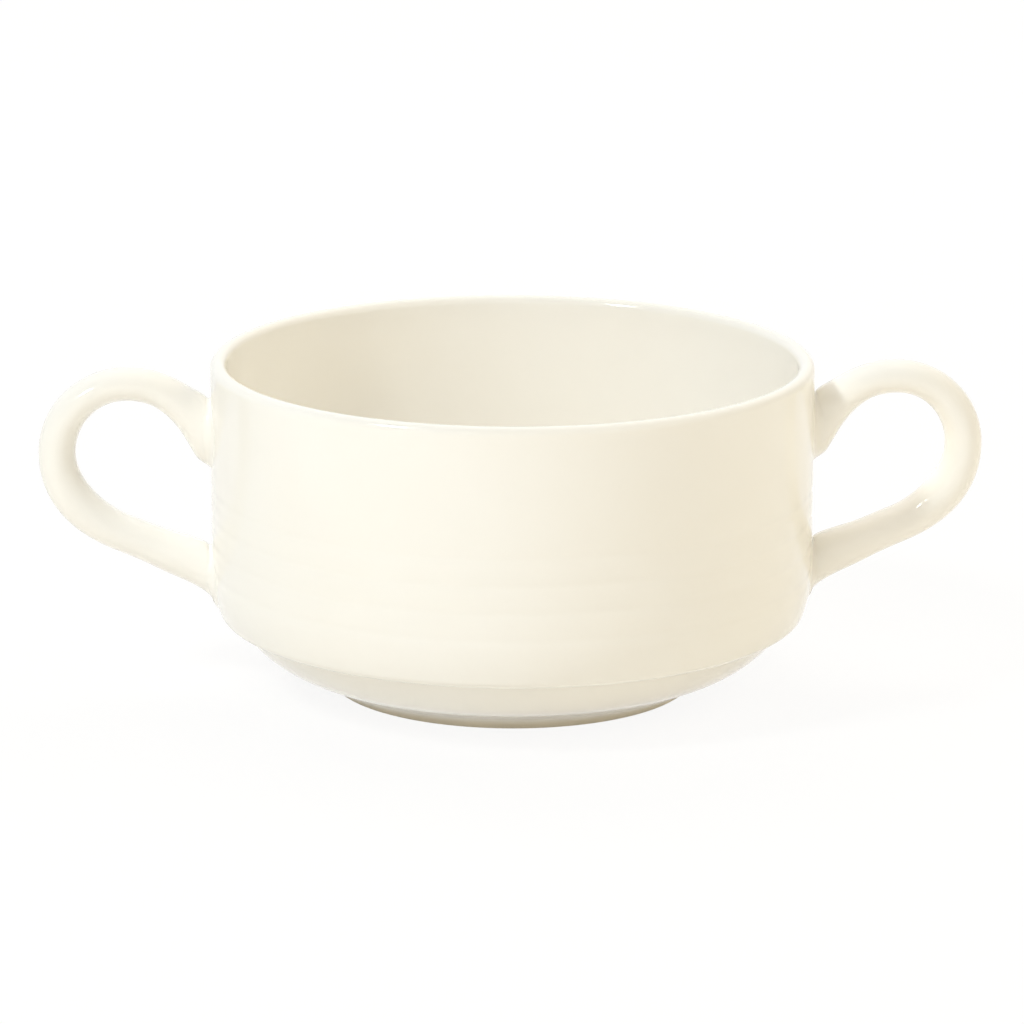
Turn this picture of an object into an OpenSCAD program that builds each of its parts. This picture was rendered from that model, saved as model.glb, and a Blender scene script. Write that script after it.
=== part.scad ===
// Stacking soup cup of glazed porcelain: a formed bowl with a stepped foot and two cast loop handles,
// each stuck to the wall at both ends with a pad of slip.
// The origin is the middle of the foot on the table, Z is up and the handles lie along X.

/* [Bowl] */
// outside diameter of the straight wall
rim_d = 104; // [94:0.5:116]
// height from the table to the top of the lip
cup_h = 57.3; // [53:0.1:66]
// thickness of the straight wall, which ends in a fully round lip
wall_t = 2.8; // [2.2:0.1:4]
// thickness of the floor
floor_t = 4.4; // [3:0.1:6]
// inside radius between the wall and the floor
basin_r = 17; // [10:0.5:24]

/* [Stacking step] */
// height of the ledge under the wall
ledge_z = 12.4; // [10:0.1:14]
// height above the ledge at which the wall begins to turn in
turn_rise = 8.6; // [6:0.1:12]
// how far the wall has turned in where its rounded lower edge is centred
turn_in = 2.8; // [2.2:0.1:4]
// radius of the rounded lower edge of the wall
edge_round = 1.7; // [0.8:0.1:2]
// gap at the radius between the step and the mouth of the next cup down
stack_gap = 1.3; // [0.8:0.1:2]
// radius of the step's swelling side
step_round = 17.2; // [12:0.2:30]

/* [Rings] */
// number of shallow rings pressed into the lower wall
ring_count = 4; // [1:1:6]
// height of the lowest ring above the start of the turn
ring_rise = 0; // [-2:0.1:8]
// distance between rings
ring_pitch = 4.7; // [3.5:0.1:6]
// width of a ring
ring_w = 2.6; // [1.5:0.1:3.4]
// depth of a ring
ring_depth = 0.09; // [0.02:0.01:0.2]

/* [Foot] */
// diameter where the step meets the foot
foot_top_d = 71; // [64:0.5:76]
// height of the foot where the step meets it
foot_h = 3.5; // [2.6:0.1:4.5]
// outside diameter of the ring that stands on the table
foot_d = 63; // [58:0.5:66]
// width of that ring
foot_w = 3.6; // [3:0.1:5]
// radius of the ring's two lower edges
foot_round = 0.7; // [0.4:0.1:1]
// depth of the hollow inside the foot ring
hollow_h = 2.4; // [1.6:0.1:3.2]
// radius between the ring and the hollow
hollow_round = 1.2; // [0.5:0.1:1.5]

/* [Handles] */
// how far a handle stands out from the wall
handle_out = 29.6; // [26:0.2:34]
// distance from the wall to the handle's highest point
crown_out = 14.6; // [12:0.2:17]
// distance from the lip down to the handle's highest point
crown_drop = 1.1; // [0:0.1:3]
// distance from the lip down to the level of the outermost point
bow_drop = 15.9; // [14:0.1:18]
// thickness of the handle at its highest point
crown_t = 5.6; // [4.6:0.1:6.8]
// thickness at its outermost point
bow_t = 6.4; // [5:0.1:7.5]
// thickness of the lower arm
arm_t = 6.4; // [5.5:0.1:8]
// slope of the outer edge where it leaves the wall
root_slope = 28; // [15:1:40]
// how far the rounded heel under the upper end stands out from the wall
heel_out = 3.8; // [3:0.1:4.6]
// height through which the heel is rounded
heel_rise = 1.5; // [1.2:0.1:2.4]
// slope of the inner edge above the heel
heel_slope = 62; // [52:1:68]
// slope of the lower arm
arm_slope = 22; // [18:1:28]
// slope of the flare under the lower end
flare_slope = 42; // [30:1:55]
// distance from the wall at which the lower arm begins to bend
arm_out = 14; // [11:0.2:16]
// width of the handle across the loop
handle_w = 8.4; // [7:0.1:10]
// width of its two ends
root_w = 11; // [9:0.1:13]

/* [Handle joints] */
// distance from the lip down to the top of the upper end
upper_drop = 6.8; // [5:0.1:9]
// height of the upper end on the wall
upper_h = 11.4; // [9:0.1:13]
// distance from the ledge up to the bottom of the lower end
lower_rise = 2; // [1.8:0.1:4]
// height of the lower end on the wall
lower_h = 10; // [9:0.1:12]
// thickness of the slip between a handle's end and the wall
slip_t = 0.5; // [0.3:0.05:0.8]
// how far the slip spreads on the wall round a handle's end
slip_bead = 0.4; // [0.3:0.1:0.8]
// how far it is squeezed out beside the handle's end
slip_lip = 0.15; // [0.1:0.05:0.3]
// clearance between pieces that are stuck together
fit_gap = 0.05; // [0.03:0.01:0.1]

/* [Hidden] */

$fn = 96;
glaze = [0.95, 0.91, 0.82];
slip = [0.92, 0.87, 0.76];

rim_r = rim_d / 2;
mouth_r = rim_r - wall_t;
lip_r = wall_t / 2;
floor_z = hollow_h + floor_t;

// the wall turns in on one arc that runs smoothly into the rounded lower edge
turn_z = ledge_z + turn_rise;
edge_r = rim_r - turn_in;
edge_z = ledge_z + edge_round;
edge_dz = turn_z - edge_z;
turn_r = (turn_in * turn_in - edge_round * edge_round + edge_dz * edge_dz) / (2 * (turn_in - edge_round));
turn_a = atan2(edge_dz, turn_r - turn_in);
join_z = turn_z - turn_r * sin(turn_a);

// height of the lowest ring, and the distance between points on the turn and the rings
ring_z = turn_z + ring_rise;
wall_step = 0.65;

// the step drops into the mouth of the next cup down and swells from the foot to the ledge on one arc
step_r = mouth_r - stack_gap;
foot_top_r = foot_top_d / 2;
step_dx = step_r - foot_top_r;
step_dz = ledge_z - foot_h;
step_chord = norm([step_dx, step_dz]);
step_back = sqrt(step_round * step_round - step_chord * step_chord / 4) / step_chord;
step_x = (step_r + foot_top_r) / 2 - step_back * step_dz;
step_z = (ledge_z + foot_h) / 2 + step_back * step_dx;

// the outside of the foot runs straight from the step to its rounded lower edge
foot_r = foot_d / 2;
foot_in_r = foot_r - foot_w;
foot_dx = foot_top_r - foot_r + foot_round;
foot_dz = foot_h - foot_round;
foot_a = atan2(foot_dz, foot_dx) + asin(foot_round / norm([foot_dx, foot_dz]));

// angle between the points of an arc, and the points of an arc in the plane of the profile
arc_step = 7.5;
function arc(x, z, r, from, to) =
    let (n = ceil(abs(to - from) / arc_step))
    [for (i = [0:n]) [x + r * cos(from + (to - from) * i / n), z + r * sin(from + (to - from) * i / n)]];

// radius of the outside of the wall at a height
function wall_r(z) =
    z >= turn_z ? rim_r :
    z >= join_z ? rim_r - turn_r + sqrt(turn_r * turn_r - pow(turn_z - z, 2)) :
    edge_r + sqrt(max(0, edge_round * edge_round - pow(edge_z - z, 2)));

// distance along X from the axis to a surface that stands off the wall
function wall_x(y, z, off) = sqrt(pow(wall_r(z) + off, 2) - y * y);

// how deep the rings cut into the wall at a height: each is a smooth hollow with no edge
function ring_dip(z) =
    let (
        nearest = min(ring_count - 1, max(0, round((z - ring_z) / ring_pitch))),
        off = (z - ring_z - nearest * ring_pitch) / ring_w
    )
    abs(off) >= 0.5 ? 0 : ring_depth * pow(cos(180 * off), 2);

// heights at which the outside of the wall has a point: close together on the turn and the rings
function wall_heights() =
    let (
        top = ring_z + (ring_count - 1) * ring_pitch + ring_w / 2,
        end = max(top, turn_z),
        n = ceil((end - join_z) / wall_step)
    )
    [for (i = [1:n]) join_z + (end - join_z) * i / n];

// half of the bowl's cross-section, from under the floor round the outside to the top of the floor
function bowl_profile() = concat(
    [[0, hollow_h]],
    arc(foot_in_r - hollow_round, hollow_h - hollow_round, hollow_round, 90, 0),
    arc(foot_in_r + foot_round, foot_round, foot_round, 180, 270),
    arc(foot_r - foot_round, foot_round, foot_round, -90, foot_a - 90),
    arc(step_x, step_z, step_round, atan2(foot_h - step_z, foot_top_r - step_x),
        atan2(ledge_z - step_z, step_r - step_x)),
    arc(edge_r, edge_z, edge_round, -90, -turn_a),
    [for (z = wall_heights()) [wall_r(z) - ring_dip(z), z]],
    arc(rim_r - lip_r, cup_h - lip_r, lip_r, 0, 180),
    arc(mouth_r - basin_r, floor_z + basin_r, basin_r, 0, -90),
    [[0, floor_z]]
);

module bowl() {
    color(glaze)
        rotate_extrude()
            polygon(bowl_profile());
}

// heights of the handle's two ends on the wall
upper_top = cup_h - upper_drop;
upper_bottom = upper_top - upper_h;
lower_bottom = ledge_z + lower_rise;
lower_top = lower_bottom + lower_h;

// a handle's ends follow the wall outside the slip
end_off = slip_t + fit_gap;
upper_x = rim_r + end_off;

// places on the loop: the heel and the root above it, the highest and outermost points, the lower arm's start
heel_x = rim_r + heel_out;
heel_z = upper_bottom + heel_rise;
root_z = upper_top + (heel_x - upper_x) * tan(root_slope);
crown_x = rim_r + crown_out;
crown_z = cup_h - crown_drop;
bow_x = rim_r + handle_out;
bow_z = cup_h - bow_drop;
arm_x = rim_r + arm_out;
arm_z = lower_top + arm_out * tan(arm_slope);
under_x = arm_x + arm_t * sin(arm_slope);
under_z = arm_z - arm_t * cos(arm_slope);

// pull that makes a curve between two square directions a quarter of an ellipse
quarter = 0.5523;

function heading(a) = [cos(a), sin(a)];

// waypoints of the loop's outer edge, from the upper end to the lower one: each has a point and a direction,
// then the pull of that direction on the curve before it and on the curve after it
outer_way = [
    [[upper_x, upper_top], heading(root_slope), 0, 0.3 * heel_out],
    [[heel_x, root_z], heading(root_slope), 0.3 * heel_out, 0.2 * crown_out],
    [[crown_x, crown_z], heading(0), 0.48 * crown_out, quarter * (bow_x - crown_x)],
    [[bow_x, bow_z], heading(-90), quarter * (crown_z - bow_z), 0.57 * (bow_z - under_z)],
    [[under_x, under_z], heading(180 + arm_slope), 0.5 * (bow_x - under_x), 0.5 * arm_out],
    [[wall_x(0, lower_bottom, end_off), lower_bottom], heading(180 + flare_slope), 0.36 * arm_out, 0]
];

// waypoints of its inner edge, which starts level under the upper end and rounds the heel
inner_way = [
    [[upper_x, upper_bottom], heading(0), 0, 0.55 * heel_out],
    [[heel_x, heel_z], heading(heel_slope), 0.5 * heel_rise, 0.3 * crown_out],
    [[crown_x, crown_z - crown_t], heading(0), 0.55 * crown_out, quarter * (bow_x - bow_t - crown_x)],
    [[bow_x - bow_t, bow_z], heading(-90), quarter * (crown_z - crown_t - bow_z), 0.45 * (bow_z - arm_z)],
    [[arm_x, arm_z], heading(180 + arm_slope), 0.45 * (bow_x - bow_t - arm_x), 0.33 * arm_out],
    [[wall_x(0, lower_top, end_off), lower_top], heading(180 + arm_slope), 0.33 * arm_out, 0]
];
last_way = len(outer_way) - 1;

// the point of an edge at u, which counts the waypoints: a cubic curve from each to the next
function along(way, u) =
    let (
        i = min(floor(u), last_way - 1),
        t = u - i,
        from = way[i],
        to = way[i + 1]
    )
    pow(1 - t, 3) * from[0]
    + 3 * t * pow(1 - t, 2) * (from[0] + from[3] * from[1])
    + 3 * t * t * (1 - t) * (to[0] - to[2] * to[1])
    + pow(t, 3) * to[0];

// 1 at a handle's end, falling smoothly to 0 within a distance from the wall
function near_wall(x, reach) = pow(max(0, min(1, 1 - (x - upper_x) / reach)), 2);

// distances within which an end widens and bends to the wall
widen_out = 11;
bend_out = 8.5;

stations = 55;
sides = 24;
cap_steps = 4;

// one oval of the loft: it spans the two edges, widens to the ends and is bent to the wall there
function loft_point(u, a) =
    let (
        outer = along(outer_way, u),
        inner = along(inner_way, u),
        mid = (outer + inner) / 2,
        half_w = handle_w / 2 + (root_w - handle_w) / 2 * near_wall(mid[0], widen_out),
        y = half_w * sin(a),
        spot = mid + (outer - inner) / 2 * cos(a),
        chord = inner[0] + (outer[0] - inner[0]) * (spot[1] - inner[1]) / (outer[1] - inner[1]),
        bend = near_wall(mid[0], bend_out)
    )
    bend > 0 ? [spot[0] + bend * (wall_x(y, spot[1], end_off) - chord), y, spot[1]] : [spot[0], y, spot[1]];

// the face of an end lies on the slip: rows of points across it between the two sides of the oval
function cap_point(u, row, step) =
    let (
        rim = loft_point(u, 360 * row / sides),
        y = rim[1] * (1 - 2 * step / cap_steps)
    )
    [wall_x(y, rim[2], end_off), y, rim[2]];

module handle() {
    rings = [for (i = [0:stations]) for (k = [0:sides - 1])
        loft_point(last_way * i / stations, 360 * k / sides)];
    rows = sides / 2 - 1;
    inside = cap_steps - 1;
    caps = [for (u = [0, last_way]) for (row = [1:rows]) for (step = [1:inside]) cap_point(u, row, step)];
    skin = [for (i = [0:stations - 1]) for (k = [0:sides - 1])
        let (a = i * sides + k, b = i * sides + (k + 1) % sides, c = a + sides, d = b + sides)
        each [[a, b, d], [a, d, c]]];
    covers = [for (end = [0, 1]) each cap_faces(end, rows, inside)];
    color(glaze)
        polyhedron(concat(rings, caps), concat(skin, covers), convexity = 6);
}

// number of a point in an end face: its two outer columns are points of the oval itself
function cap_id(end, row, step, rows, inside) =
    let (ring = end * stations * sides)
    step == 0 ? ring + row :
    step == cap_steps ? ring + sides - row :
    (stations + 1) * sides + (end * rows + row - 1) * inside + step - 1;

// triangles of an end face, turned to look outward at either end
function cap_faces(end, rows, inside) =
    let (
        top = end * stations * sides,
        bottom = top + sides / 2,
        tris = concat(
            [for (s = [0:cap_steps - 1])
                [top, cap_id(end, 1, s + 1, rows, inside), cap_id(end, 1, s, rows, inside)]],
            [for (r = [1:rows - 1]) for (s = [0:cap_steps - 1])
                let (
                    a = cap_id(end, r, s, rows, inside),
                    b = cap_id(end, r, s + 1, rows, inside),
                    c = cap_id(end, r + 1, s, rows, inside),
                    d = cap_id(end, r + 1, s + 1, rows, inside)
                )
                each [[a, b, d], [a, d, c]]],
            [for (s = [0:cap_steps - 1])
                [bottom, cap_id(end, rows, s, rows, inside), cap_id(end, rows, s + 1, rows, inside)]]
        )
    )
    end == 0 ? tris : [for (t = tris) [t[0], t[2], t[1]]];

module right_handle() {
    handle();
}

module left_handle() {
    rotate([0, 0, 180])
        handle();
}

// a pad of slip follows the wall on both faces and slopes out to the wall round the handle's end
pad_sides = 32;
pad_rings = 3;

function pad_point(bottom, top, face, ring, k) =
    let (
        off = face == 0 ? fit_gap : slip_t,
        spread = face == 0 ? slip_bead : slip_lip,
        y = (root_w / 2 + spread) * ring / pad_rings * sin(360 * k / pad_sides),
        z = (top + bottom) / 2 + ((top - bottom) / 2 + spread) * ring / pad_rings * cos(360 * k / pad_sides)
    )
    [wall_x(y, z, off), y, z];

// triangles of one face of a pad: a fan round its middle, then bands
function pad_faces(first) =
    concat(
        [for (k = [0:pad_sides - 1]) [first, first + 1 + k, first + 1 + (k + 1) % pad_sides]],
        [for (ring = [1:pad_rings - 1]) for (k = [0:pad_sides - 1])
            let (
                a = first + 1 + (ring - 1) * pad_sides + k,
                b = first + 1 + (ring - 1) * pad_sides + (k + 1) % pad_sides,
                c = a + pad_sides,
                d = b + pad_sides
            )
            each [[a, c, d], [a, d, b]]]
    );

module slip_pad(bottom, top) {
    per_face = 1 + pad_rings * pad_sides;
    points = [for (face = [0, 1]) each concat(
        [pad_point(bottom, top, face, 0, 0)],
        [for (ring = [1:pad_rings]) for (k = [0:pad_sides - 1]) pad_point(bottom, top, face, ring, k)]
    )];
    back = [for (t = pad_faces(0)) [t[0], t[2], t[1]]];
    front = pad_faces(per_face);
    edge = [for (k = [0:pad_sides - 1])
        let (
            a = 1 + (pad_rings - 1) * pad_sides + k,
            b = 1 + (pad_rings - 1) * pad_sides + (k + 1) % pad_sides
        )
        each [[a, b, b + per_face], [a, b + per_face, a + per_face]]];
    color(slip)
        polyhedron(points, concat(back, front, edge), convexity = 3);
}

module right_upper_slip() {
    slip_pad(upper_bottom, upper_top);
}

module right_lower_slip() {
    slip_pad(lower_bottom, lower_top);
}

module left_upper_slip() {
    rotate([0, 0, 180])
        slip_pad(upper_bottom, upper_top);
}

module left_lower_slip() {
    rotate([0, 0, 180])
        slip_pad(lower_bottom, lower_top);
}

bowl();
left_handle();
right_handle();
left_upper_slip();
left_lower_slip();
right_upper_slip();
right_lower_slip();
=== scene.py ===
# %% [markdown]
# # A stacking soup cup in ivory porcelain
# The cup is a bowl with a stepped foot and two cast handles. Slip, which is liquid clay, sticks the handles
# on, and one ivory glaze covers everything but the ring that stands on the table.
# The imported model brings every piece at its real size. This lesson makes a smoother skin for each of them,
# finishes it and lights it, and it never moves a piece.

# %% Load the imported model
import math

import bmesh
import bpy
from mathutils import Matrix, Quaternion, Vector


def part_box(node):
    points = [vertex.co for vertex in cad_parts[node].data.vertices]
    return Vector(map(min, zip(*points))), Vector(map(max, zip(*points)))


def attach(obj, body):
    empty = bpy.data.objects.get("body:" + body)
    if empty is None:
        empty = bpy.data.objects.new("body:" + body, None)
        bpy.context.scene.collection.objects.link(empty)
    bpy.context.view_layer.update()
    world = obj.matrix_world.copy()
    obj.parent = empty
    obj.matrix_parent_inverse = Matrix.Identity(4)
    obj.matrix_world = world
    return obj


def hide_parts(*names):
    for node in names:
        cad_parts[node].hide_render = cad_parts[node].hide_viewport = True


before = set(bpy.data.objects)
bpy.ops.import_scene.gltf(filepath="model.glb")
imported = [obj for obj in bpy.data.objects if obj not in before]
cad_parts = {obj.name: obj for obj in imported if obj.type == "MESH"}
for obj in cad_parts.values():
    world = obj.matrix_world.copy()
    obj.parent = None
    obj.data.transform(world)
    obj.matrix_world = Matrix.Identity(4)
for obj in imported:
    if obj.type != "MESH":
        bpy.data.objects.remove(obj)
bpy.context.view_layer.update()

MM = 0.001
rim_r, cup_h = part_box("bowl")[1].x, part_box("bowl")[1].z
print(f"nodes {sorted(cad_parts)}")
print(f"the bowl is {2 * rim_r / MM:.1f} mm across and {cup_h / MM:.1f} mm tall")

# %% [markdown]
# ## The outline of the bowl
# A potter shapes this bowl on a wheel with a profile tool, so half of its cross-section says it all.
# It could be traced as a long list of points. Here one vertex is led along the section instead: a line
# extrudes it, and a round stretch spins it about the centre of the arc, so each radius stays a true radius.

# %% Drawing with one vertex
POINT_GAP = 0.8 * MM
ARC_STEP = 7.5


def line_on(bm, pen, x, z, gap=2 * POINT_GAP):
    """Extrudes the last vertex of an outline to a new place, in short steps so that shading stays even."""
    start, goal = pen.co.copy(), Vector((x, 0, z))
    steps = math.ceil((goal - start).length / gap)
    for i in range(steps):
        pen = bmesh.ops.extrude_vert_indiv(bm, verts=[pen])["verts"][0]
        pen.co = start.lerp(goal, (i + 1) / steps)
    return pen


def arc_on(bm, pen, x, z, degrees, gap=POINT_GAP):
    """Spins the last vertex about a centre, counter-clockwise as seen from the front."""
    length = math.radians(abs(degrees)) * (pen.co - Vector((x, 0, z))).length
    steps = max(math.ceil(abs(degrees) / ARC_STEP), math.ceil(length / gap))
    made = bmesh.ops.spin(
        bm, geom=[pen], cent=(x, 0, z), axis=(0, -1, 0), angle=math.radians(degrees), steps=steps
    )
    return next(v for v in made["geom_last"] if isinstance(v, bmesh.types.BMVert))


# %% Sizes of the foot and the step
hollow_h, hollow_round = 2.4 * MM, 1.2 * MM
foot_r, foot_w, foot_round = 31.5 * MM, 3.6 * MM, 0.7 * MM
foot_in_r = foot_r - foot_w
foot_top_r, foot_h = 35.5 * MM, 3.5 * MM
ledge_z, step_r, step_round = 12.4 * MM, 47.9 * MM, 17.2 * MM

foot_side = Vector((foot_top_r - foot_r + foot_round, foot_h - foot_round))
foot_turn = math.degrees(math.atan2(foot_side.y, foot_side.x) + math.asin(foot_round / foot_side.length))

step_low, step_high = Vector((foot_top_r, foot_h)), Vector((step_r, ledge_z))
chord = step_high - step_low
rise = math.sqrt(step_round**2 - chord.length_squared / 4)
step_mid = (step_low + step_high) / 2 + rise * Vector((-chord.y, chord.x)).normalized()
step_turn = 2 * math.degrees(math.asin(chord.length / 2 / step_round))
print(f"the step swells on a radius of {step_round / MM:.1f} mm through {step_turn:.0f} degrees")

# %% Sizes of the wall
wall_t, floor_z, basin_r = 2.8 * MM, 6.8 * MM, 17 * MM
lip_r, mouth_r = wall_t / 2, rim_r - wall_t
turn_z, turn_in, edge_round = 21 * MM, 2.8 * MM, 1.7 * MM
edge_r, edge_z = rim_r - turn_in, ledge_z + edge_round
edge_dz = turn_z - edge_z
turn_r = (turn_in**2 - edge_round**2 + edge_dz**2) / (2 * (turn_in - edge_round))
turn_a = math.degrees(math.atan2(edge_dz, turn_r - turn_in))
print(f"the wall turns in on a radius of {turn_r / MM:.1f} mm through {turn_a:.1f} degrees")

# %% Draw the section
RING_GAP = 0.4 * MM

section = bmesh.new()
pen = section.verts.new((0, 0, hollow_h))
pen = line_on(section, pen, foot_in_r - hollow_round, hollow_h)
pen = arc_on(section, pen, foot_in_r - hollow_round, hollow_h - hollow_round, -90)
pen = line_on(section, pen, foot_in_r, foot_round)
pen = arc_on(section, pen, foot_in_r + foot_round, foot_round, 90)
pen = line_on(section, pen, foot_r - foot_round, 0)
pen = arc_on(section, pen, foot_r - foot_round, foot_round, foot_turn)
crease = line_on(section, pen, foot_top_r, foot_h)
notch = arc_on(section, crease, step_mid.x, step_mid.y, step_turn)
pen = line_on(section, notch, edge_r, ledge_z)
pen = arc_on(section, pen, edge_r, edge_z, 90 - turn_a)
pen = arc_on(section, pen, rim_r - turn_r, turn_z, turn_a, RING_GAP)
pen = line_on(section, pen, rim_r, cup_h - lip_r, RING_GAP)
pen = arc_on(section, pen, rim_r - lip_r, cup_h - lip_r, 180)
pen = line_on(section, pen, mouth_r, floor_z + basin_r)
pen = arc_on(section, pen, mouth_r - basin_r, floor_z + basin_r, -90)
line_on(section, pen, 0, floor_z)
print(f"the section has {len(section.verts)} points")

# %% [markdown]
# ## Where the glaze gathers
# Melted glaze flows into inner corners and rounds them. The section has two, one under the ledge and one
# where the step meets the foot. A vertex bevel does on the section what the glaze does on the cup.

# %% Round the two inner corners
glaze_fillet, fillet_steps = 0.6 * MM, 5
bmesh.ops.bevel(
    section,
    geom=[crease, notch],
    offset=glaze_fillet,
    segments=fillet_steps,
    profile=0.5,
    material=-1,
    affect="VERTICES",
)
print(f"the rounded section has {len(section.verts)} points")

# %% [markdown]
# ## Rings on the lower wall
# The tool leaves four rings on the wall, so shallow that only a gloss shows them. A groove could be cut for
# each, but these have no edge: the points of the wall are simply drawn in along a cosine.

# %% Press the rings
ring_count, ring_pitch, ring_w, ring_depth = 4, 4.7 * MM, 2.6 * MM, 0.09 * MM


def ring_dip(z):
    """How far the rings draw the wall in at a height."""
    nearest = min(ring_count - 1, max(0, round((z - turn_z) / ring_pitch)))
    off = (z - turn_z - nearest * ring_pitch) / ring_w
    return ring_depth * math.cos(math.pi * off) ** 2 if abs(off) < 0.5 else 0


pressed = [v for v in section.verts if v.co.x > mouth_r + lip_r and ring_dip(v.co.z)]
for v in pressed:
    v.co.x -= ring_dip(v.co.z)
print(f"{ring_count} rings move {len(pressed)} points of the wall")

# %% [markdown]
# ## Turning the bowl
# Spinning the section once about the axis is what the wheel does. The last copy is merged with the first,
# the points on the axis become one, and the faces are told which way is out.

# %% Turn the bowl
TURN_STEPS = 240
MERGE = 0.0005 * MM
SHARP = math.radians(50)

bmesh.ops.spin(
    section,
    geom=section.verts[:] + section.edges[:],
    cent=(0, 0, 0),
    axis=(0, 0, 1),
    angle=math.tau,
    steps=TURN_STEPS,
    use_merge=True,
)
bmesh.ops.remove_doubles(section, verts=section.verts[:], dist=MERGE)
bmesh.ops.recalc_face_normals(section, faces=section.faces[:])


def make_piece(bm, name, node):
    """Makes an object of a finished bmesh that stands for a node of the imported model."""
    for f in bm.faces:
        f.smooth = True
    for e in bm.edges:
        e.smooth = e.calc_face_angle() < SHARP
    mesh = bpy.data.meshes.new(name)
    bm.to_mesh(mesh)
    piece = bpy.data.objects.new(name, mesh)
    bpy.context.scene.collection.objects.link(piece)
    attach(piece, "root")
    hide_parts(node)
    closed = all(e.is_manifold for e in bm.edges)
    volume = bm.calc_volume() / (10 * MM) ** 3
    print(f"{name}: {len(mesh.polygons)} faces, closed {closed}, {volume:.2f} cubic cm")
    bm.free()
    return piece


bowl = make_piece(section, "porcelain_bowl", "bowl")

# %% [markdown]
# ## The way of a handle
# A handle is cast in a two-part mould, so it is easiest to say by the two edges that its parting line
# follows: an outer and an inner one. Each edge runs through six waypoints, and between two of them it is a
# cubic curve that leaves and arrives in a known direction. How far a direction pulls the curve along is a
# share of a length near it. The ends lie on the slip, a little off the wall, and under the upper one the
# inner edge rounds a blunt heel.

# %% Sizes of a handle
handle_low, handle_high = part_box("right_handle")
slip_t, fit_gap = 0.5 * MM, 0.05 * MM
end_off = slip_t + fit_gap

upper_top, upper_bottom = cup_h - 6.8 * MM, cup_h - 18.2 * MM
lower_top, lower_bottom = 24.4 * MM, handle_low.z
crown_out, arm_out = 14.6 * MM, 14 * MM
crown_x, crown_z, crown_t = rim_r + crown_out, handle_high.z, 5.6 * MM
bow_x, bow_z, bow_t = handle_high.x, cup_h - 15.9 * MM, 6.4 * MM
arm_t, arm_slope, root_slope, flare_slope = 6.4 * MM, 22, 28, 42
heel_out, heel_rise, heel_slope = 3.8 * MM, 1.5 * MM, 62
handle_w, root_w = 8.4 * MM, 2 * handle_high.y


def wall_radius(z):
    """Outside radius of the bowl's wall at a height, without its rings."""
    below_turn, below_edge = turn_z - z, edge_z - z
    if below_turn <= 0:
        return rim_r
    if below_turn <= turn_r * math.sin(math.radians(turn_a)):
        return rim_r - turn_r + math.sqrt(turn_r**2 - below_turn**2)
    return edge_r + math.sqrt(max(0, edge_round**2 - below_edge**2))


def wall_x(y, z, off):
    """Distance along X from the axis to a surface that stands off the wall."""
    return math.sqrt((wall_radius(z) + off) ** 2 - y * y)


print(f"a handle stands {(bow_x - rim_r) / MM:.1f} mm out from the wall")

# %% Waypoints and curves
QUARTER = 0.5523  # the pull that makes a cubic curve a quarter of a circle


def heading(degrees):
    """A direction in the plane of the handle."""
    return Vector((math.cos(math.radians(degrees)), 0, math.sin(math.radians(degrees))))


def way(x, z, degrees, before, after):
    """A waypoint: its place, its direction, and how far that pulls the curve before it and after it."""
    return Vector((x, 0, z)), heading(degrees), before, after


arm_x = rim_r + arm_out
arm_z = lower_top + arm_out * math.tan(math.radians(arm_slope))
arm_under = Vector((arm_x, 0, arm_z)) + arm_t * heading(arm_slope - 90)
bow_in_x = bow_x - bow_t
upper_x, heel_x = rim_r + end_off, rim_r + heel_out
root_z = upper_top + (heel_x - upper_x) * math.tan(math.radians(root_slope))

outer_way = [
    way(upper_x, upper_top, root_slope, 0, 0.3 * heel_out),
    way(heel_x, root_z, root_slope, 0.3 * heel_out, 0.2 * crown_out),
    way(crown_x, crown_z, 0, 0.48 * crown_out, QUARTER * (bow_x - crown_x)),
    way(bow_x, bow_z, -90, QUARTER * (crown_z - bow_z), 0.57 * (bow_z - arm_under.z)),
    way(arm_under.x, arm_under.z, 180 + arm_slope, 0.5 * (bow_x - arm_under.x), 0.5 * arm_out),
    way(wall_x(0, lower_bottom, end_off), lower_bottom, 180 + flare_slope, 0.36 * arm_out, 0),
]
inner_way = [
    way(upper_x, upper_bottom, 0, 0, 0.55 * heel_out),
    way(heel_x, upper_bottom + heel_rise, heel_slope, 0.5 * heel_rise, 0.3 * crown_out),
    way(crown_x, crown_z - crown_t, 0, 0.55 * crown_out, QUARTER * (bow_in_x - crown_x)),
    way(bow_in_x, bow_z, -90, QUARTER * (crown_z - crown_t - bow_z), 0.45 * (bow_z - arm_z)),
    way(arm_x, arm_z, 180 + arm_slope, 0.45 * (bow_in_x - arm_x), 0.33 * arm_out),
    way(wall_x(0, lower_top, end_off), lower_top, 180 + arm_slope, 0.33 * arm_out, 0),
]
LAST = len(outer_way) - 1


def along(edge, u):
    """The point of an edge at u, which counts its waypoints."""
    i = min(int(u), LAST - 1)
    (start, leave, _, pull), (end, arrive, push, _) = edge[i], edge[i + 1]
    t = u - i
    a, b = start + pull * leave, end - push * arrive
    return (1 - t) ** 3 * start + 3 * t * (1 - t) ** 2 * a + 3 * t * t * (1 - t) * b + t**3 * end


print(f"each edge of a handle has {len(outer_way)} waypoints")

# %% [markdown]
# ## Lofting a handle
# Between the two edges the handle is oval, and it widens to its ends. One circle is extruded station by
# station, and each new loop is moved to its place by a matrix: its first column spans the two edges and its
# second the width. Last of all the loops at both ends are bent to the round of the wall, so that the ends lie
# flat on it.

# %% The section of a handle
SIDES = 48
widen_out, bend_out = 11 * MM, 8.5 * MM


def near_wall(x, reach):
    """1 at a handle's end, falling smoothly to 0 within a distance from the wall."""
    return max(0, min(1, 1 - (x - upper_x) / reach)) ** 2


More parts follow.
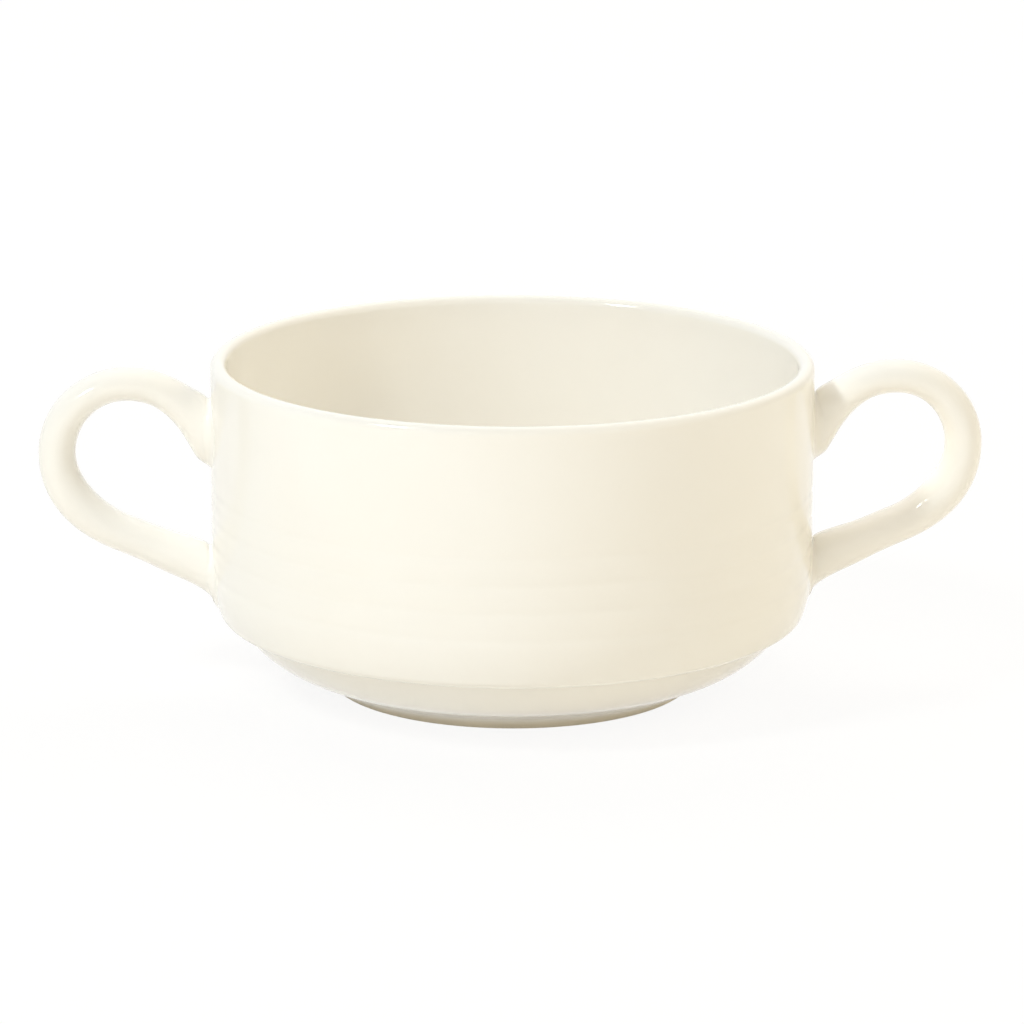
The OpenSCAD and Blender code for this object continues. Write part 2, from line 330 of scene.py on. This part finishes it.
def oval_at(u, grow=0.0):
    """The matrix that lays a unit circle on the handle's section at u, grown a little on all sides."""
    outer, inner = along(outer_way, u), along(inner_way, u)
    mid, half_t = (outer + inner) / 2, (outer - inner) / 2
    half_w = handle_w / 2 + (root_w - handle_w) / 2 * near_wall(mid.x, widen_out)
    across = half_t + grow * half_t.normalized()
    columns = Matrix((across, Vector((0, half_w + grow, 0)), half_t.cross(Vector((0, 1, 0))))).transposed()
    return Matrix.Translation(mid) @ columns.to_4x4()


def bend_to_wall(point, u):
    """Moves a point of the loft so that the ends follow the wall."""
    outer, inner = along(outer_way, u), along(inner_way, u)
    bend = near_wall((outer.x + inner.x) / 2, bend_out)
    if bend:
        chord_x = inner.x + (outer.x - inner.x) * (point.z - inner.z) / (outer.z - inner.z)
        point.x += bend * (wall_x(point.y, point.z, end_off) - chord_x)


# %% Loft a handle
STATIONS = 110


def next_loop(bm, edges):
    """Extrudes a loop of edges in place, and gives its new vertices and edges."""
    made = bmesh.ops.extrude_edge_only(bm, edges=edges)["geom"]
    verts = [g for g in made if isinstance(g, bmesh.types.BMVert)]
    return verts, [g for g in made if isinstance(g, bmesh.types.BMEdge)]


def loft_handle():
    """A closed handle on the right of the bowl."""
    bm = bmesh.new()
    ring = bmesh.ops.create_circle(bm, cap_ends=True, radius=1, segments=SIDES)["verts"]
    edges = bm.edges[:]
    bmesh.ops.transform(bm, matrix=oval_at(0), verts=ring)
    loops = [(0, ring)]
    for i in range(STATIONS):
        ring, edges = next_loop(bm, edges)
        here, there = LAST * i / STATIONS, LAST * (i + 1) / STATIONS
        bmesh.ops.transform(bm, matrix=oval_at(there) @ oval_at(here).inverted(), verts=ring)
        loops.append((there, ring))
    bmesh.ops.edgeloop_fill(bm, edges=edges)
    for u, verts in loops:
        for v in verts:
            bend_to_wall(v.co, u)
    bmesh.ops.recalc_face_normals(bm, faces=bm.faces[:])
    return bm


SIDE_TURN = {"right": Matrix.Identity(3), "left": Matrix.Rotation(math.pi, 3, "Z")}
handles = []
for side, turn in SIDE_TURN.items():
    loft = loft_handle()
    bmesh.ops.rotate(loft, matrix=turn, verts=loft.verts[:])
    handles.append(make_piece(loft, f"cast_handle_{side}", f"{side}_handle"))

# %% [markdown]
# ## Slip round the ends
# The potter wets both faces with slip, presses the handle on and wipes the squeezed-out clay into a soft
# collar with a finger. A torus would sit there like a ring. The collar is a hollow curve instead, which
# leaves the handle along its side and runs out along the wall, so it is a stack of loops on a quadratic curve
# with the corner as its control. A finger gets in best at the sides, so the collar is wide there and narrow
# at the edges. Under the handle it runs out as a thin tongue, and its control point is lifted off the wall so
# that the curve doesn't dive under the handle.

# %% Loops of a collar
COLLAR_LOOPS = 13
sunk = 0.05 * MM
edge_foot, side_foot = 0.5 * MM, 2.2 * MM
tongue_foot, tongue_lead, tongue_lift = 0.9 * MM, 0.5 * MM, 0.68 * MM


def on_handle(u, spot, grow=0.0):
    """A point of the handle's skin, or of a skin grown a little."""
    point = oval_at(u, grow) @ spot
    bend_to_wall(point, u)
    return point


def collar_loops(end, pace, tongue_side):
    """Loops of points from the side of a handle down to the wall, with a tongue at the edge under it."""
    rows = [[] for _ in range(COLLAR_LOOPS)]
    for k in range(SIDES):
        spot = Vector((math.cos(math.tau * k / SIDES), math.sin(math.tau * k / SIDES), 0))
        tongue = max(0, tongue_side * spot.x)
        narrow = edge_foot + (tongue_foot - edge_foot) * tongue
        foot = narrow + (side_foot - narrow) * spot.y**2
        high = on_handle(end + pace * foot, spot, -sunk)
        corner, wall = oval_at(end, tongue * tongue_lead) @ spot, oval_at(end, foot) @ spot
        corner.x = wall_x(corner.y, corner.z, tongue * tongue_lift)
        wall.x = wall_x(wall.y, wall.z, -sunk - ring_depth)
        for i, row in enumerate(rows):
            t = i / (COLLAR_LOOPS - 1)
            row.append((1 - t) ** 2 * high + 2 * t * (1 - t) * corner + t * t * wall)
    return rows


# %% Model the collars
# Each has the waypoint at its end, the waypoints it climbs per metre of foot, and its tongue: above 0 this is
# on the outer edge, below 0 on the inner one.
COLLARS = {"upper": (0, 0.34 / MM, -0.5), "lower": (LAST, -0.09 / MM, 1)}


def model_collar(end, pace, tongue_side):
    """A closed collar: the loops, with a face inside the handle and one inside the wall."""
    bm = bmesh.new()
    rows = collar_loops(end, pace, tongue_side)
    ring = bmesh.ops.create_circle(bm, cap_ends=True, radius=1, segments=SIDES)["verts"]
    edges = bm.edges[:]
    for row in rows:
        for v, place in zip(ring, row):
            v.co = place
        if row is not rows[-1]:
            ring, edges = next_loop(bm, edges)
    bmesh.ops.edgeloop_fill(bm, edges=edges)
    bmesh.ops.recalc_face_normals(bm, faces=bm.faces[:])
    return bm


collars = []
for side, turn in SIDE_TURN.items():
    for level, shape in COLLARS.items():
        collar = model_collar(*shape)
        bmesh.ops.rotate(collar, matrix=turn, verts=collar.verts[:])
        collars.append(make_piece(collar, f"slip_{side}_{level}", f"{side}_{level}_slip"))

# %% [markdown]
# ## The ivory glaze
# A glaze is a thin glass over a pale body. Its colour drifts a little from place to place because it is never
# quite the same thickness, and its gloss is broken by a fine skin like that of an orange and by slow waves.
# Bowl, handles and slip share these effects, so they are one node group that each material uses with its own
# colours.

# %% Helpers for nodes
NOISE_LOW, NOISE_HIGH = 0.3, 0.7  # nearly all of a noise lies between these


def add_node(tree, kind, **inputs):
    """Adds a node and sets the inputs that are given by name."""
    node = tree.nodes.new(kind)
    for key, value in inputs.items():
        node.inputs[key.replace("_", " ")].default_value = value
    return node


def noise(tree, where, scale, detail, low=0.0, high=1.0):
    """A noise at a scale per metre, brought to a range."""
    cloud = add_node(tree, "ShaderNodeTexNoise", Scale=scale, Detail=detail)
    spread = add_node(
        tree, "ShaderNodeMapRange", From_Min=NOISE_LOW, From_Max=NOISE_HIGH, To_Min=low, To_Max=high
    )
    tree.links.new(where, cloud.inputs["Vector"])
    tree.links.new(cloud.outputs[0], spread.inputs["Value"])
    return spread.outputs["Result"]


def mix_colour(tree, factor, a, b):
    """Mixes two colours, each a socket or a value."""
    mixer = tree.nodes.new("ShaderNodeMix")
    mixer.data_type = "RGBA"
    tree.links.new(factor, mixer.inputs["Factor"])
    for name, value in (("A", a), ("B", b)):
        socket = next(s for s in mixer.inputs if s.name == name and s.type == "RGBA")
        if isinstance(value, bpy.types.NodeSocket):
            tree.links.new(value, socket)
        else:
            socket.default_value = value
    return next(s for s in mixer.outputs if s.type == "RGBA")


# %% The glaze group
CLOUD, HAZE, WAVE, PEEL = 24, 210, 60, 1300
GLOSSIEST, DULLEST = 0.07, 0.13
WAVE_SHARE, PEEL_SHARE = 4.0, 0.12

glaze = bpy.data.node_groups.new("glaze_detail", "ShaderNodeTree")
for name in ("Thin", "Thick"):
    glaze.interface.new_socket(name, in_out="INPUT", socket_type="NodeSocketColor")
for name, kind in (("Color", "Color"), ("Roughness", "Float"), ("Height", "Float")):
    glaze.interface.new_socket(name, in_out="OUTPUT", socket_type=f"NodeSocket{kind}")

given, result = glaze.nodes.new("NodeGroupInput"), glaze.nodes.new("NodeGroupOutput")
place = glaze.nodes.new("ShaderNodeTexCoord").outputs["Object"]
drift = noise(glaze, place, CLOUD, detail=3)
ivory = mix_colour(glaze, drift, given.outputs["Thin"], given.outputs["Thick"])
haze = noise(glaze, place, HAZE, detail=2, low=GLOSSIEST, high=DULLEST)

skin = glaze.nodes.new("ShaderNodeMath")
skin.operation = "MULTIPLY_ADD"
skin.inputs[1].default_value = WAVE_SHARE
glaze.links.new(noise(glaze, place, WAVE, detail=1), skin.inputs[0])
glaze.links.new(noise(glaze, place, PEEL, detail=1, high=PEEL_SHARE), skin.inputs[2])

glaze.links.new(ivory, result.inputs["Color"])
glaze.links.new(haze, result.inputs["Roughness"])
glaze.links.new(skin.outputs[0], result.inputs["Height"])
print(f"the glaze group has {len(glaze.nodes)} nodes")

# %% Materials of the handles and the slip
SKIN_DEPTH = 0.004 * MM
GLAZE_IOR = 1.5
IVORY_THIN, IVORY_THICK = (0.910, 0.886, 0.832, 1), (0.899, 0.867, 0.800, 1)
SLIP_THIN, SLIP_THICK = (0.908, 0.882, 0.825, 1), (0.896, 0.862, 0.791, 1)


def glazed(name, thin, thick):
    """A material with the glaze on it, and its tree, shader and glaze node for what else is added to it."""
    material = bpy.data.materials.new(name)
    material.use_nodes = True
    tree = material.node_tree
    shader = tree.nodes["Principled BSDF"]
    shader.inputs["IOR"].default_value = GLAZE_IOR
    detail = tree.nodes.new("ShaderNodeGroup")
    detail.node_tree = glaze
    detail.inputs["Thin"].default_value = thin
    detail.inputs["Thick"].default_value = thick
    bump = add_node(tree, "ShaderNodeBump", Strength=1.0, Distance=SKIN_DEPTH)
    tree.links.new(detail.outputs["Color"], shader.inputs["Base Color"])
    tree.links.new(detail.outputs["Roughness"], shader.inputs["Roughness"])
    tree.links.new(detail.outputs["Height"], bump.inputs["Height"])
    tree.links.new(bump.outputs["Normal"], shader.inputs["Normal"])
    return material, tree, shader, detail


handle_glaze = glazed("ivory_glaze_handles", IVORY_THIN, IVORY_THICK)[0]
slip_glaze = glazed("ivory_glaze_slip", SLIP_THIN, SLIP_THICK)[0]
for piece, finish in [(h, handle_glaze) for h in handles] + [(c, slip_glaze) for c in collars]:
    piece.data.materials.append(finish)
    print(f"{piece.name} has {finish.name}")

# %% [markdown]
# ## The bowl's glaze and its bare foot
# A glazed foot would stick to the kiln shelf, so the ring under the bowl is wiped clean before firing and
# stays matt and biscuit-coloured. It could be a piece of its own, but it is one body with the bowl, so a mask
# by height paints it: below about two millimetres the glaze thins out, with a soft edge, and gives way to
# bare porcelain.

# %% Material of the bowl
bare_top, bare_soft = 2.0 * MM, 0.9 * MM
BARE = (0.92, 0.85, 0.69, 1)
BARE_ROUGH = 0.62

bowl_glaze, tree, shader, detail = glazed("ivory_glaze_bowl", IVORY_THIN, IVORY_THICK)
height = tree.nodes.new("ShaderNodeSeparateXYZ")
tree.links.new(tree.nodes.new("ShaderNodeTexCoord").outputs["Object"], height.inputs["Vector"])
bare = add_node(
    tree,
    "ShaderNodeMapRange",
    From_Min=bare_top - bare_soft,
    From_Max=bare_top + bare_soft,
    To_Min=1.0,
    To_Max=0.0,
)
tree.links.new(height.outputs["Z"], bare.inputs["Value"])
colour = mix_colour(tree, bare.outputs["Result"], detail.outputs["Color"], BARE)
tree.links.new(colour, shader.inputs["Base Color"])
matt = tree.nodes.new("ShaderNodeMix")
tree.links.new(bare.outputs["Result"], matt.inputs["Factor"])
tree.links.new(detail.outputs["Roughness"], matt.inputs["A"])
matt.inputs["B"].default_value = BARE_ROUGH
tree.links.new(matt.outputs["Result"], shader.inputs["Roughness"])
bowl.data.materials.append(bowl_glaze)
print(f"the foot ring is bare up to {bare_top / MM:.2f} mm")

# %% [markdown]
# ## The table
# The photograph has a plain white ground. A white floor throws light up under the step as a real table does.
# Rays from the camera and mirrored rays see most of it as plain white, and the rest keeps a soft shadow under
# the cup.

# %% A white floor
FLOOR_SIZE = 8.0
FLOOR_WHITE = (0.97, 0.94, 0.88, 1)

floor_mesh = bmesh.new()
bmesh.ops.create_grid(floor_mesh, x_segments=1, y_segments=1, size=FLOOR_SIZE / 2)
floor = bpy.data.objects.new("table", bpy.data.meshes.new("table"))
floor_mesh.to_mesh(floor.data)
floor_mesh.free()
bpy.context.scene.collection.objects.link(floor)
print(f"the table is {FLOOR_SIZE:.0f} m wide")

# %% Material of the floor
PLAIN_SHARE = 0.9

paper = bpy.data.materials.new("white_table")
paper.use_nodes = True
tree = paper.node_tree
tree.nodes.clear()
matt_white = add_node(tree, "ShaderNodeBsdfDiffuse", Color=FLOOR_WHITE)
plain_white = add_node(tree, "ShaderNodeEmission", Strength=1.0)


def seen_directly(tree):
    """1 for rays from the camera, mirrored rays and rays through glass, else 0."""
    rays = tree.nodes.new("ShaderNodeLightPath")
    total = rays.outputs["Is Camera Ray"]
    for name in ("Is Glossy Ray", "Is Transmission Ray"):
        more = tree.nodes.new("ShaderNodeMath")
        more.operation = "MAXIMUM"
        tree.links.new(total, more.inputs[0])
        tree.links.new(rays.outputs[name], more.inputs[1])
        total = more.outputs[0]
    return total


share = tree.nodes.new("ShaderNodeMath")
share.operation = "MULTIPLY"
share.inputs[1].default_value = PLAIN_SHARE
blend = tree.nodes.new("ShaderNodeMixShader")
surface = tree.nodes.new("ShaderNodeOutputMaterial")
tree.links.new(seen_directly(tree), share.inputs[0])
tree.links.new(share.outputs[0], blend.inputs[0])
tree.links.new(matt_white.outputs[0], blend.inputs[1])
tree.links.new(plain_white.outputs[0], blend.inputs[2])
tree.links.new(blend.outputs[0], surface.inputs["Surface"])
floor.data.materials.append(paper)
print(f"{PLAIN_SHARE:.0%} of the table is plain white to the camera")

# %% [markdown]
# ## Light
# The rim throws a shadow with a crisp edge on the root of the right handle, so the main light is small and
# stands on the left, in front of the cup. A bare key would leave the far side dark, so four wider boxes fill
# in. The front one stands lowest and lights the foot, and those on the right are warm, like light that has
# already met the ivory. Only the key shows in the gloss, as a sharp spark on the lip and the handles.

# %% Soft boxes round the cup
BOX_DISTANCE = 1.2
# Each has its name, degrees round the cup, degrees up, width in metres, watts and colour.
SOFT_BOXES = (
    ("key_left", -58, 46, 0.18, 6.0, (0.90, 0.97, 1.0)),
    ("front", -14, 26, 0.85, 5.1, (1.0, 0.97, 0.92)),
    ("back_left", -165, 50, 0.9, 8.0, (1.0, 1.0, 1.0)),
    ("back_right", 120, 35, 0.9, 5.6, (1.0, 0.96, 0.86)),
    ("right", 75, 30, 0.9, 3.5, (1.0, 0.86, 0.54)),
)


def seen_from(azimuth, elevation):
    """The direction from the cup to a place, where azimuth 0 is the front and 90 the right."""
    a, e = math.radians(azimuth), math.radians(elevation)
    return Vector((math.sin(a) * math.cos(e), -math.cos(a) * math.cos(e), math.sin(e)))


for name, azimuth, elevation, size, watts, colour in SOFT_BOXES:
    lamp = bpy.data.lights.new(name, "AREA")
    lamp.size, lamp.energy, lamp.color = size, watts, colour
    box = bpy.data.objects.new(name, lamp)
    box.location = BOX_DISTANCE * seen_from(azimuth, elevation)
    box.rotation_euler = (-box.location).to_track_quat("-Z", "Y").to_euler()
    box.visible_glossy = name == "key_left"
    bpy.context.scene.collection.objects.link(box)
    print(f"{name}: {watts} W from {azimuth} degrees round and {elevation} up")

# %% White walls
WALLS, PLAIN_WHITE = (0.10, 0.10, 0.10, 1), (1, 1, 1, 1)

world = bpy.data.worlds.new("white_walls")
bpy.context.scene.world = world
world.use_nodes = True
tree = world.node_tree
tree.nodes.clear()
walls = add_node(tree, "ShaderNodeBackground", Color=WALLS)
plain = add_node(tree, "ShaderNodeBackground", Color=PLAIN_WHITE)
blend = tree.nodes.new("ShaderNodeMixShader")
surface = tree.nodes.new("ShaderNodeOutputWorld")
tree.links.new(seen_directly(tree), blend.inputs[0])
tree.links.new(walls.outputs[0], blend.inputs[1])
tree.links.new(plain.outputs[0], blend.inputs[2])
tree.links.new(blend.outputs[0], surface.inputs["Surface"])
print(f"the walls send back {WALLS[0]:.2f} of full white")

# %% [markdown]
# ## Camera
# The ellipses of the rim, the ledge and the foot say where the camera stood: about a metre away, looking down
# by some 14 degrees, with the cup turned so that its left handle comes a little nearer.

# %% Place the camera
DISTANCE, LENS, SENSOR = 1.0, 202.9, 36.0
AZIMUTH, ELEVATION, ROLL = -3.5, 14.44, math.radians(0.19)
AIM = Vector((0, 0, 29.9 * MM))

back = seen_from(AZIMUTH, ELEVATION)
camera = bpy.data.objects.new("camera", bpy.data.cameras.new("camera"))
camera.data.lens, camera.data.sensor_width = LENS, SENSOR
camera.location = AIM + DISTANCE * back
camera.rotation_mode = "QUATERNION"
camera.rotation_quaternion = (-back).to_track_quat("-Z", "Y") @ Quaternion((0, 0, 1), ROLL)
bpy.context.scene.collection.objects.link(camera)
bpy.context.scene.camera = camera
bpy.context.scene.view_settings.view_transform = "Standard"
print(f"the camera is at {tuple(round(c, 3) for c in camera.location)}")
